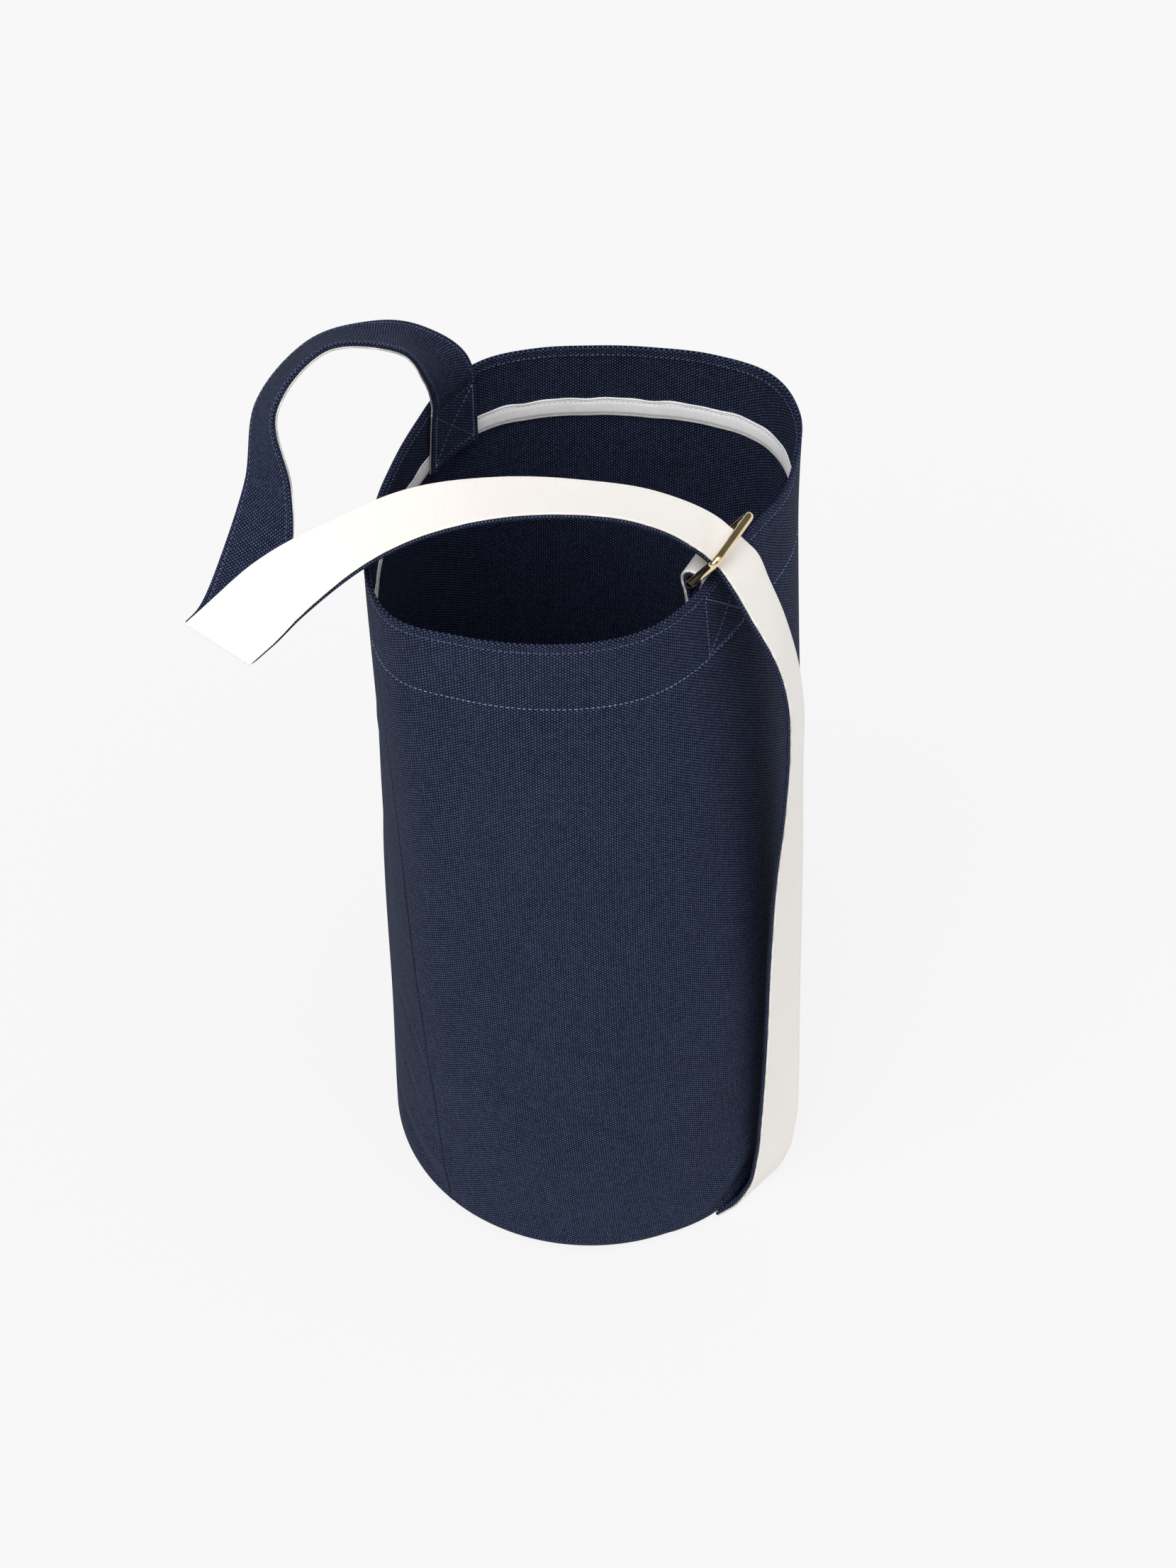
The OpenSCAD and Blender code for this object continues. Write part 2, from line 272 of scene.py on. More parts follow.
def tube_mesh(name, grid, uv_grid, material, flip=False):
    """Closed solid from a grid whose rows go right round a cross-section and whose columns run along it.
    Its two end faces are flat, with sharp edges, so that they don't shade the cloth beside them."""
    n, m = grid.shape[:2]
    faces = ring_faces(n, m, flip)
    first = [i * m for i in range(n)]
    last = [i * m + m - 1 for i in range(n)]
    faces.append(first if flip else first[::-1])
    faces.append(last[::-1] if flip else last)
    piece = mesh_object(name, grid.reshape(-1, 3), faces, uv_grid.reshape(-1, 2), material)
    sharp = set()
    for k in (len(faces) - 1, len(faces) - 2):
        end = piece.data.polygons[k]
        end.use_smooth = False
        sharp.update(end.edge_keys)
    for edge in piece.data.edges:
        edge.use_edge_sharp = edge.key in sharp
    return piece


def stitches(name, places, directions, outs, material, long=STITCH_LONG):
    """One mesh with a small bead of thread at each place. Each bead's ends dip into the cloth."""
    rings, sides = 5, 7
    u = np.linspace(-1, 1, rings)
    v = np.arange(sides) * 2 * math.pi / sides
    body = []
    for x in u:
        thick = math.sqrt(max(1 - x * x * 0.97, 0))
        for a in v:
            body.append([x * long / 2, thick * math.cos(a) * STITCH_WIDE / 2,
                         thick * math.sin(a) * STITCH_HIGH / 2 - 0.28 * x * x])
    body = np.array(body)
    k = rings * sides
    faces = [[i * sides + j, i * sides + (j + 1) % sides,
              (i + 1) * sides + (j + 1) % sides, (i + 1) * sides + j]
             for i in range(rings - 1) for j in range(sides)]
    faces += [list(range(sides))[::-1], list(range(k - sides, k))]
    x = directions / np.linalg.norm(directions, axis=1, keepdims=True)
    z = outs - x * np.sum(outs * x, 1, keepdims=True)
    z /= np.linalg.norm(z, axis=1, keepdims=True)
    y = np.cross(z, x)
    points = (places[:, None, :] + body[None, :, 0:1] * x[:, None, :] + body[None, :, 1:2] * y[:, None, :]
              + (body[None, :, 2:3] + STITCH_PROUD) * z[:, None, :]).reshape(-1, 3)
    everything = [[i + k * n for i in f] for n in range(len(places)) for f in faces]
    uvs = np.tile(np.stack([body[:, 0], np.tile(v, rings)], -1), (len(places), 1))
    return mesh_object(name, points, everything, uvs, material)


def resample(points, step):
    """Places a step apart along a line of points, with the direction at each, as (places, directions)."""
    seg = np.linalg.norm(np.diff(points, axis=0), axis=1)
    run = np.concatenate([[0], np.cumsum(seg)])
    at = np.arange(step / 2, run[-1], step)

    def along(d):
        return np.stack([np.interp(d, run, points[:, i]) for i in range(3)], -1)

    return along(at), along(at + 0.4) - along(at - 0.4)


def edge_stitches(name, lines, material):
    """Rows of stitches. Each line is a column of points beside a second one that shows which way is out."""
    places, ways, outs = [], [], []
    for line in lines:
        place, way = resample(line[:, 0], STITCH_GAP)
        near = np.argmin(np.linalg.norm(line[None, :, 0] - place[:, None], axis=2), axis=1)
        places.append(place)
        ways.append(way)
        outs.append((line[:, 1] - line[:, 0])[near])
    return stitches(name, np.concatenate(places), np.concatenate(ways), np.concatenate(outs), material)


# ---------------------------------------------------------------- materials

class Nodes:
    """Short calls for building a material's node tree."""

    def __init__(self, name):
        self.material = bpy.data.materials.new(name)
        self.material.use_nodes = True
        self.tree = self.material.node_tree
        self.shader = self.tree.nodes["Principled BSDF"]

    def add(self, kind, **settings):
        node = self.tree.nodes.new(kind)
        for key, value in settings.items():
            setattr(node, key, value)
        return node

    def put(self, socket, value):
        if isinstance(value, bpy.types.NodeSocket):
            self.tree.links.new(value, socket)
        else:
            socket.default_value = value

    def math(self, operation, a, b=0.0, c=0.0):
        node = self.add("ShaderNodeMath", operation=operation)
        for socket, value in zip(node.inputs, (a, b, c)):
            self.put(socket, value)
        return node.outputs[0]

    def centred(self, value):
        """A value of 0 to 1 as -0.5 to 0.5."""
        return self.math("SUBTRACT", value, 0.5)

    def wave(self, value, pitch):
        """Ridges from 0 to 1 whose valleys lie a pitch apart."""
        return self.math("ABSOLUTE", self.math("SINE", self.math("DIVIDE", value, pitch / math.pi)))

    def noise(self, vector, scale, detail):
        node = self.add("ShaderNodeTexNoise")
        self.put(node.inputs["Vector"], vector)
        node.inputs["Scale"].default_value = scale
        node.inputs["Detail"].default_value = detail
        return node.outputs["Fac"]

    def scaled(self, vector, scale):
        node = self.add("ShaderNodeVectorMath", operation="MULTIPLY")
        self.put(node.inputs[0], vector)
        node.inputs[1].default_value = scale
        return node.outputs[0]

    def cloth_uv(self):
        """Position on the flat cloth, in metres."""
        return self.add("ShaderNodeUVMap", uv_map="cloth").outputs["UV"]

    def place(self):
        """Position in space, in metres."""
        return self.add("ShaderNodeTexCoord").outputs["Object"]

    def split(self, vector):
        node = self.add("ShaderNodeSeparateXYZ")
        self.put(node.inputs[0], vector)
        return node.outputs[0], node.outputs[1]

    def ramp(self, value, low, high, a, b):
        """Colour from a to b as value goes from low to high."""
        node = self.add("ShaderNodeValToRGB")
        node.color_ramp.elements[0].position = low
        node.color_ramp.elements[0].color = (*a, 1)
        node.color_ramp.elements[1].position = high
        node.color_ramp.elements[1].color = (*b, 1)
        self.put(node.inputs[0], value)
        return node.outputs[0]

    def mix(self, factor, under, over):
        """The socket under, covered by the colour over as far as factor says."""
        node = self.add("ShaderNodeMix", data_type="RGBA")
        self.put(node.inputs[0], factor)
        self.put(node.inputs[6], under)
        self.put(node.inputs[7], (*over, 1))
        return node.outputs[2]

    def bump(self, height, distance, strength):
        node = self.add("ShaderNodeBump")
        node.inputs["Strength"].default_value = strength
        node.inputs["Distance"].default_value = distance
        self.put(node.inputs["Height"], height)
        return node.outputs["Normal"]

    def finish(self, colour, rough, normal, **constants):
        """Puts everything on the shader and gives the finished material."""
        colour = colour if isinstance(colour, bpy.types.NodeSocket) else (*colour, 1)
        self.put(self.shader.inputs["Base Color"], colour)
        self.put(self.shader.inputs["Roughness"], rough)
        if normal is not None:
            self.put(self.shader.inputs["Normal"], normal)
        for key, value in constants.items():
            self.shader.inputs[key.replace("_", " ")].default_value = value
        return self.material


def weave(n, wide, long):
    """Rows of thread beads, each row half a bead further on. Gives the bead's height (0 to 1) and a random
    value for each bead. wide and long are a bead's size across and along the rows, in millimetres."""
    uv = n.cloth_uv()
    drift = n.math("MULTIPLY", n.centred(n.noise(uv, 260.0, 2.0)), 0.10)
    u, v = n.split(uv)
    row = n.math("ADD", n.math("DIVIDE", u, wide * MM), drift)
    place = n.math("ADD", n.math("DIVIDE", v, long * MM), drift)
    place = n.math("MULTIPLY_ADD", n.math("FLOOR", row), 0.5, place)
    bead = n.math("MULTIPLY", n.wave(row, 1.0), n.math("POWER", n.wave(place, 1.0), 2.1))
    cell = n.add("ShaderNodeCombineXYZ")
    n.put(cell.inputs[0], n.math("FLOOR", row))
    n.put(cell.inputs[1], n.math("FLOOR", place))
    chance = n.add("ShaderNodeTexWhiteNoise", noise_dimensions="2D")
    n.put(chance.inputs["Vector"], cell.outputs[0])
    return bead, chance.outputs["Value"]


def canvas_material():
    """Heavy plain-weave cotton canvas: staggered beads of thread and slubs. Its colour is darker in the gaps
    between the beads as painted shade and lighter on the bead tops as painted highlight.
    """
    n = Nodes("navy_canvas")
    bead, chance = weave(n, 1.38, 1.92)
    uv = n.cloth_uv()
    slub = n.noise(n.scaled(uv, (60, 900, 1)), 1.0, 2.0)
    slub_up = n.noise(n.scaled(uv, (900, 60, 1)), 1.0, 2.0)
    cloud = n.noise(n.place(), 14.0, 3.0)
    height = n.math("MULTIPLY_ADD", slub, 0.25, bead)
    # painted shade and highlight: the colour follows each bead's height, darker in the gaps and lighter on
    # the tops, with a random tone for each bead
    shade_and_tone = n.math("MULTIPLY", bead, n.math("MULTIPLY_ADD", chance, 0.50, 0.70))
    shade_and_tone = n.math("MULTIPLY_ADD", n.centred(slub), 0.30, shade_and_tone)
    shade_and_tone = n.math("MULTIPLY_ADD", n.centred(slub_up), 0.25, shade_and_tone)
    shade_and_tone = n.math("MULTIPLY_ADD", n.centred(cloud), 0.12, shade_and_tone)
    colour = n.ramp(shade_and_tone, 0.05, 1.0, (0.0018, 0.0028, 0.0076), (0.0620, 0.0820, 0.1640))
    rough = n.math("MULTIPLY_ADD", n.centred(slub), 0.12, 0.86)
    return n.finish(colour, rough, n.bump(height, 0.00030, 0.75), Sheen_Weight=0.01, Sheen_Roughness=0.45,
                    Sheen_Tint=(0.50, 0.62, 1.0, 1.0), Specular_IOR_Level=0.08)


def cream_material():
    """Soft cream cotton webbing with fine ribs across it and a few brown flecks. Its colour is darker in the
    valleys between the ribs, as painted shade.
    """
    n = Nodes("cream_webbing")
    uv = n.cloth_uv()
    u, v = n.split(uv)
    ribs = n.math("POWER", n.wave(v, 1.25 * MM), 0.7)
    bead = n.math("MULTIPLY", ribs, n.math("MULTIPLY_ADD", n.wave(u, 0.8 * MM), 0.35, 0.65))
    fibre = n.noise(n.scaled(uv, (500, 2600, 1)), 1.0, 3.0)
    speck = n.noise(uv, 1500.0, 2.0)
    cloud = n.noise(n.place(), 22.0, 3.0)
    height = n.math("MULTIPLY_ADD", bead, 0.7, n.math("MULTIPLY", fibre, 0.7))
    # painted shade: the colour follows the ribs' height, darker in their valleys; the fibre streaks and
    # clouds are random tone
    shade_and_tone = n.math("MULTIPLY_ADD", bead, 0.5, n.math("MULTIPLY", fibre, 0.35))
    shade_and_tone = n.math("MULTIPLY_ADD", cloud, 0.35, shade_and_tone)
    colour = n.ramp(shade_and_tone, 0.15, 1.0, (0.735, 0.690, 0.640), (0.850, 0.822, 0.792))
    flecks = n.math("GREATER_THAN", speck, 0.755)
    colour = n.mix(n.math("MULTIPLY", flecks, 0.35), colour, (0.50, 0.42, 0.33))
    return n.finish(colour, 0.86, n.bump(height, 0.00018, 0.55), Sheen_Weight=0.35, Sheen_Roughness=0.5,
                    Specular_IOR_Level=0.25)


def tape_material():
    """Grey-white ribbed binding tape, its colour darker between the ribs as painted shade."""
    n = Nodes("ribbed_tape")
    uv = n.cloth_uv()
    u, v = n.split(uv)
    cloud = n.noise(n.place(), 60.0, 3.0)
    ribs = n.math("POWER", n.wave(u, 0.95 * MM), 0.6)
    height = n.math("MULTIPLY_ADD", n.wave(v, 0.5 * MM), 0.25, ribs)
    # painted shade: the colour follows the ribs' height, darker between them, over a random cloud of tone
    shade_and_tone = n.math("MULTIPLY_ADD", cloud, 0.35, n.math("MULTIPLY", height, 0.6))
    colour = n.ramp(shade_and_tone, 0.05, 0.9, (0.74, 0.74, 0.77), (0.96, 0.955, 0.965))
    return n.finish(colour, 0.7, n.bump(height, 0.00016, 0.6), Sheen_Weight=0.2, Specular_IOR_Level=0.3)


def thread_material(name, dark, light):
    """Twisted sewing thread. Its colour is lighter on the ridges of the twist and darker between them, as
    painted highlight and shade.
    """
    n = Nodes(name)
    u, v = n.split(n.cloth_uv())
    twist = n.math("SINE", n.math("ADD", n.math("MULTIPLY", u, 9000.0), n.math("MULTIPLY", v, 1000.0)))
    # painted highlight and shade along the twist, over a random tone
    shade_and_tone = n.math("MULTIPLY_ADD", twist, 0.3, n.noise(n.place(), 400.0, 2.0))
    colour = n.ramp(shade_and_tone, 0.2, 0.9, dark, light)
    return n.finish(colour, 0.55, n.bump(twist, 0.00006, 0.5), Sheen_Weight=0.2)


def gold_material():
    """Polished pale gold plate with the faint waviness and fine scratches of a cast ring."""
    n = Nodes("pale_gold")
    place = n.place()
    wavy = n.noise(place, 90.0, 2.0)
    scratch = n.noise(n.scaled(place, (400, 400, 2600)), 1.0, 3.0)
    colour = n.ramp(wavy, 0.3, 0.75, (0.78, 0.60, 0.34), (0.90, 0.74, 0.49))
    rough = n.math("MULTIPLY_ADD", scratch, 0.10, 0.08)
    return n.finish(colour, rough, n.bump(wavy, 0.0004, 0.12), Metallic=1.0)


NAVY = canvas_material()
CREAM = cream_material()
TAPE = tape_material()
BLUE = thread_material("blue_thread", (0.080, 0.110, 0.300), (0.340, 0.420, 0.780))
# The second thread is the blue thread made darker; on the stitched boxes this darker copy is painted shade.
DIM = thread_material("darker_blue_thread", (0.030, 0.042, 0.120), (0.140, 0.180, 0.380))
PALE = thread_material("cream_thread", (0.62, 0.57, 0.50), (0.84, 0.80, 0.74))
GREY = thread_material("grey_thread", (0.42, 0.43, 0.47), (0.68, 0.68, 0.72))
GOLD = gold_material()


# ---------------------------------------------------------------- camera, light and floor

def make_camera():
    """Camera that looks down on the mouth at 45 degrees from the side near -Y and +X."""
    data = bpy.data.cameras.new("camera")
    data.lens = 80.0
    data.sensor_width = 36.0
    camera = bpy.data.objects.new("camera", data)
    camera.location = (0.99024, -0.95831, 1.68694)
    camera.rotation_euler = (math.radians(44.403), 0, math.radians(46))
    bpy.context.scene.collection.objects.link(camera)
    bpy.context.scene.camera = camera


def soft_light(name, turn, height, spread, strength, colour, mirrored=True):
    """Even light from a patch of the studio, spread wide and seen at a turn and a height, all in degrees.
    A light that isn't mirrored doesn't show in the metal ring."""
    data = bpy.data.lights.new(name, "SUN")
    data.angle = math.radians(spread)
    data.energy = strength
    data.color = colour
    light = bpy.data.objects.new(name, data)
    light.visible_glossy = mirrored
    light.rotation_euler = (0, math.radians(90 - height), math.radians(turn))
    bpy.context.scene.collection.objects.link(light)


def make_world():
    """Studio surroundings by height: pale at the horizon, dark above it and bright overhead."""
    world = bpy.data.worlds.new("studio")
    world.use_nodes = True
    tree = world.node_tree
    split = tree.nodes.new("ShaderNodeSeparateXYZ")
    ramp = tree.nodes.new("ShaderNodeValToRGB")
    stops = ramp.color_ramp.elements
    stops[0].position = 0.05
    stops[0].color = (0.93, 0.93, 0.93, 1)
    stops[1].position = 0.97
    stops[1].color = (1.10, 1.14, 1.22, 1)
    for height, grey in ((0.30, 0.10), (0.78, 0.15)):
        stops.new(height).color = (grey, grey * 0.97, grey * 0.95, 1)
    tree.links.new(tree.nodes.new("ShaderNodeTexCoord").outputs["Generated"], split.inputs[0])
    tree.links.new(split.outputs[2], ramp.inputs[0])
    tree.links.new(ramp.outputs[0], tree.nodes["Background"].inputs[0])
    bpy.context.scene.world = world


def make_lights():
    """Soft light mostly from the side near -Y, the left of the camera's view."""
    soft_light("key", -84, 44, 40, 1.5, (1.0, 0.99, 0.97))
    soft_light("front", -38, 55, 50, 1.1, (1.0, 0.99, 0.98), mirrored=False)
    soft_light("overhead", -50, 80, 50, 0.6, (1.0, 0.99, 0.98))
    soft_light("fill", 30, 38, 60, 0.5, (1.0, 0.99, 0.98))


def make_floor():
    """Plain pale floor, mostly lit by itself so that the bag's shadow on it is faint."""
    n = Nodes("pale_floor")
    material = n.finish((0.06, 0.06, 0.06), 0.9, None, Specular_IOR_Level=0.0,
                        Emission_Color=(1, 1, 1, 1), Emission_Strength=0.86)
    half = 60000.0
    corners = [[-half, -half, 0], [half, -half, 0], [half, half, 0], [-half, half, 0]]
    mesh_object("floor", corners, [[0, 1, 2, 3]], None, material)


# ---------------------------------------------------------------- bag

def side_columns():
    """Turns counted from the -Y seam over half of the bag, closer together beside the seams."""
    beside = np.array([0, 0.25, 0.6, 1.0, 1.5, 2.2, 3.2, 4.6]) / PER_DEGREE
    step = 1.15
    middle = np.arange(beside[-1] + step, 180 - beside[-1] - 1.0, step)
    return np.concatenate([beside, middle, 180 - beside[::-1]])


def seam_roll(columns, side):
    """How far the cloth's edge rolls inwards at the side seams. The seam near +Y is pressed nearly flat."""
    near = (columns if side == 0 else 180 - columns) * PER_DEGREE
    far = 180 * PER_DEGREE - near
    return 0.95 * np.exp(-(near / 0.6) ** 1.4) + 0.2 * np.exp(-(far / 0.6) ** 1.4)


def cloth_solid(name, side, outer, inner, node, lap=1.0):
    """Half-round piece of canvas. outer and inner are the profile of its two faces from below upwards, as
    [z, depth, edge angle]. lap says how much of the seam's roll it takes."""
    columns = side_columns()
    profile = np.array(outer + inner[::-1])
    z, depth, edge = profile[:, 0:1], profile[:, 1:2], profile[:, 2:3]
    flatter = 0.6 * np.clip((z - 290) / 110, 0, 1)
    roll = seam_roll(columns, side)[None, :] * lap * (1 - flatter)
    turn = seam_turn(np.where(edge > 0, 0, z)) + 180 * side + columns[None, :] * HALF_SHARE + HALF_START
    points = wall_point(turn, z, depth + roll, edge)
    length = np.concatenate([[0], np.cumsum(np.hypot(*np.diff(profile_line(profile), axis=0).T))])
    uv = np.stack(np.broadcast_arrays((columns[None, :] + 180 * side) * PER_DEGREE, length[:, None]), -1)
    piece = tube_mesh(name, points, uv, NAVY, flip=True)
    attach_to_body(piece, "bag")
    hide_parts(node)


def profile_line(profile):
    """The profile's points in the plane of radius and height."""
    e = np.radians(profile[:, 2])
    r = (EDGE_R - profile[:, 1]) * np.cos(e)
    return np.stack([r, profile[:, 0] - (EDGE_R - profile[:, 1]) * np.sin(e)], -1)


def rounded_top(z, near, far):
    """Half circle over the top of a cloth between two depths."""
    middle, radius = (near + far) / 2, (far - near) / 2
    return [[z - radius + radius * math.sin(a), middle - radius * math.cos(a), 0]
            for a in np.radians(np.linspace(15, 165, 7))]


def make_panels():
    """The two halves of the wall, round at the lower edge and at the rim."""
    heights = spread(EDGE_R, BAG_H - 0.8, 3.0, (RIM_ROW, FACING_ROW), 2.6, 0.45)
    round_edge = [[EDGE_R, 0, a] for a in np.linspace(90, 6, 12)]
    outer = round_edge + [[z, 0, 0] for z in heights] + rounded_top(BAG_H + 0.1, 0, PANEL_T)
    inner = [[EDGE_R, PANEL_T, a] for a in np.linspace(90, 10, 6)]
    inner += [[z, PANEL_T, 0] for z in spread(EDGE_R, BAG_H - 1, 6.0)]
    cloth_solid("front_wall", 0, outer, inner, "front_panel")
    cloth_solid("back_wall", 1, outer, inner, "back_panel")


def make_facings():
    """The canvas turned in at the rim, against the wall's inner face."""
    low = BAG_H - FACING_H
    heights = spread(low, BAG_H - 1.2, 3.0, (RIM_ROW, FACING_ROW), 2.6, 0.45)
    outer = [[z, FACING_IN, 0] for z in spread(low, BAG_H - 1.2, 4.0)]
    outer += rounded_top(BAG_H - 0.2, FACING_IN, FACING_IN + FACING_T)
    inner = [[z, FACING_IN + FACING_T, 0] for z in heights]
    cloth_solid("front_facing_cloth", 0, outer, inner, "front_facing", lap=-0.4)
    cloth_solid("back_facing_cloth", 1, outer, inner, "back_facing", lap=-0.4)


def tape_wave(turn, share):
    """Slight looseness of the tape's two edges, in millimetres of height."""
    a = np.radians(turn)
    return (0.35 * np.sin(23 * a) + 0.25 * np.sin(41 * a + 1)) * (0.3 + 0.7 * share)


def make_facing_tapes():
    """Binding tape over the raw lower edge of the facing, held by two rows of stitches."""
    columns = side_columns()
    shares = np.array([0, 0.04, 0.1, 0.16, 0.22, 0.3, 0.45, 0.6, 0.74, 0.8, 0.84, 0.88, 0.94, 1.0])
    wide = TAPE_HIGH - TAPE_LOW
    low_row = (FACING_ROW - TAPE_LOW) / wide
    high_row = (TAPE_ROW - TAPE_LOW) / wide
    for side, label in ((0, "front"), (1, "back")):
        turn = seam_turn(TAPE_LOW) + 180 * side + columns
        curl = 0.5 + 0.5 * np.sin(np.radians(turn) * 31)
        rows, uv = [], []
        for layer in (TAPE_T, 0.0):
            for s in (shares if layer else shares[::-1]):
                z = TAPE_LOW + s * wide
                pull = 0.3 * (np.exp(-((s - low_row) / 0.06) ** 2) + np.exp(-((s - high_row) / 0.06) ** 2))
                lift = 0.35 * math.sin(math.pi * s) + 2.5 * max(0, s - 0.9) * curl
                step = 0 if z > BAG_H - FACING_H else -0.35
                depth = TAPE_IN + layer + lift - pull * (layer > 0) + step
                rows.append(wall_point(turn, z + tape_wave(turn, s), depth))
                uv.append(np.stack([columns * PER_DEGREE, np.full_like(columns, s * wide)], -1))
        piece = tube_mesh(f"{label}_tape", np.array(rows), np.array(uv), TAPE)
        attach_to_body(piece, "bag")
        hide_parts(f"{label}_facing_tape")


def make_seam_tapes():
    """Tape over the folded allowance of each side seam, inside."""
    across = np.linspace(-6.2, 6.2, 15)
    heights = spread(EDGE_R + 4, TAPE_LOW - 1, 5.0)
    for side, label in ((0, "left"), (1, "right")):
        rows, uv = [], []
        for layer, order in ((TAPE_T, across), (0.0, across[::-1])):
            for x in order:
                lift = 0.15 + 1.1 * math.exp(-(x / 4.6) ** 4)
                turn = seam_turn(heights) + 180 * side + (x + 0.4 * np.sin(heights / 37)) / PER_DEGREE
                rows.append(wall_point(turn, heights, PANEL_T + lift + layer))
                uv.append(np.stack([heights, np.full_like(heights, x)], -1))
        piece = tube_mesh(f"{label}_seam_cover", np.array(rows), np.array(uv), NAVY, flip=True)
        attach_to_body(piece, "bag")
        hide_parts(f"{label}_seam_tape")


def make_base_cloth(edge):
    """Round base with the radius edge, from rings of [radius, height] out along its underside and back."""
    rings = [[edge * s, 0.25 + 0.15 * math.sin(s * 9)] for s in (0.02, 0.25, 0.5, 0.75, 0.9, 0.96)]
    rings += [[edge - 0.5, 0.05], [edge, 0.5], [edge, 1.0], [edge - 0.5, 1.45]]
    rings += [[edge * s, PANEL_T] for s in (0.96, 0.9, 0.75, 0.5, 0.25, 0.02)]
    count = BASE_SIDES
    a = np.radians(np.arange(count) * 360 / count)
    points = [[r * math.cos(t), r * math.sin(t), h] for r, h in rings for t in a]
    faces = [[i * count + j, i * count + (j + 1) % count,
              (i + 1) * count + (j + 1) % count, (i + 1) * count + j]
             for i in range(len(rings) - 1) for j in range(count)]
    faces.append(list(range(count))[::-1])
    last = (len(rings) - 1) * count
    faces.append(list(range(last, last + count)))
    piece = mesh_object("base_cloth", points, faces, [p[:2] for p in points], NAVY)
    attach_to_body(piece, "bag")
    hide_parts("base_panel")


def make_base():
    """Round base, its edge turned in at the seam, and the tape over the seam inside."""
    edge = BASE_R - EDGE_R - 0.25
    make_base_cloth(edge)
    a = np.radians(np.arange(BASE_SIDES + 1) * 360 / BASE_SIDES)
    rows, uv = [], []
    for r, h in ((edge - 0.2, 1.6), (edge - 1.5, 1.62), (edge - 6, 1.62), (edge - 6.2, 1.85),
                 (edge - 6, 2.1), (edge - 1.5, 2.3), (edge - 0.2, 2.3), (edge, 2.0)):
        rows.append(np.stack([r * np.cos(a), r * np.sin(a), np.full_like(a, h)], -1))
        uv.append(np.stack([a * edge, np.full_like(a, r)], -1))
    cover = tube_mesh("base_seam_cover", np.array(rows), np.array(uv), TAPE)
    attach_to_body(cover, "bag")
    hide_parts("base_seam_tape")
    row = np.stack([(edge - 3.6) * np.cos(a), (edge - 3.6) * np.sin(a), np.full_like(a, 0.2)], -1)
    places, ways = resample(row, STITCH_GAP)
    down = np.tile([0, 0, -1.0], (len(places), 1))
    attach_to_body(stitches("base_seam_stitches", places, ways, down, BLUE), "bag")


def wall_row(name, z, depth, inside, material, long=STITCH_LONG):
    """A row of stitches round the wall at one height."""
    turn = np.linspace(0, 360, 1400)
    places, ways = resample(wall_point(turn + 0.15, z, depth), STITCH_GAP)
    out = places * [1, 1, 0]
    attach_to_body(stitches(name, places, ways, -out if inside else out, material, long), "bag")


def make_wall_stitches():
    """The rows at the rim and along the facing. The tape's lower row shows only its short stitches' tops."""
    wall_row("rim_stitches_outside", RIM_ROW, 0.02, False, DIM)
    wall_row("rim_stitches_inside", RIM_ROW, FACING_IN + FACING_T - 0.02, True, DIM)
    wall_row("facing_stitches_outside", FACING_ROW, 0.02, False, BLUE)
    wall_row("tape_stitches_lower", FACING_ROW, TAPE_IN + TAPE_T - 0.25, True, BLUE, long=1.0)
    wall_row("tape_stitches_upper", TAPE_ROW, TAPE_IN + TAPE_T + 0.02, True, GREY)


# ---------------------------------------------------------------- strap

def route_at(t):
    """The strap's middle line: position and the width direction, at places t on the route."""
    t = np.atleast_1d(t)
    span = np.linalg.norm(np.diff(ROUTE[:, :3], axis=0), axis=1)
    step = np.diff(ROUTE, axis=0) / span[:, None]
    rate = np.empty_like(ROUTE)
    rate[0], rate[-1] = step[0], step[-1]
    rate[1:-1] = (step[:-1] * span[1:, None] + step[1:] * span[:-1, None]) / (span[:-1] + span[1:])[:, None]
    i = np.clip(np.floor(t).astype(int), 0, len(ROUTE) - 2)
    u, d = (t - i)[:, None], span[i][:, None]
    p = (ROUTE[i] * (2 * u ** 3 - 3 * u * u + 1) + rate[i] * d * (u ** 3 - 2 * u * u + u)
         + ROUTE[i + 1] * (3 * u * u - 2 * u ** 3) + rate[i + 1] * d * (u ** 3 - u * u))
    az, el = np.radians(p[:, 3]), np.radians(p[:, 4])
    wide = np.stack([np.cos(el) * np.cos(az), np.cos(el) * np.sin(az), np.sin(el)], -1)
    return p[:, :3], wide


def unit(v):
    """The vectors of v at length 1."""
    return v / np.linalg.norm(v, axis=-1, keepdims=True)


def strap_frame(t):
    """Middle, width direction, length direction and canvas-side direction of the strap at places t."""
    middle, wide = route_at(t)
    ahead, behind = route_at(np.minimum(t + 0.02, ROUTE_END))[0], route_at(np.maximum(t - 0.02, 0))[0]
    way = ahead - behind
    way = unit(way - wide * np.sum(way * wide, 1, keepdims=True))
    return middle, wide, way, np.cross(wide, way)


def ply_section(low, high, half, bulge):
    """Cross-section of one layer as (across, height) points, with soft edges and a slight crown."""
    edge = min(0.5 * (high - low), 0.9)
    near = np.array([0, 0.35, 0.9, 1.8])
    xs = np.concatenate([near, np.linspace(2.6, 2 * half - 2.6, 21), 2 * half - near[::-1]]) - half
    inset = np.clip(1 - (half - np.abs(xs)) / edge, 0, 1)
    drop = edge * (1 - np.sqrt(1 - inset ** 2))
    dip = 0.22 * np.exp(-((np.abs(xs) - EDGE_ROW) / 0.9) ** 2)
    crown = bulge * (1 - (xs / half) ** 2)
    top = np.stack([xs, high - drop - dip + crown], -1)
    bottom = np.stack([xs[::-1], (low + drop + crown)[::-1]], -1)
    return np.concatenate([top, bottom])


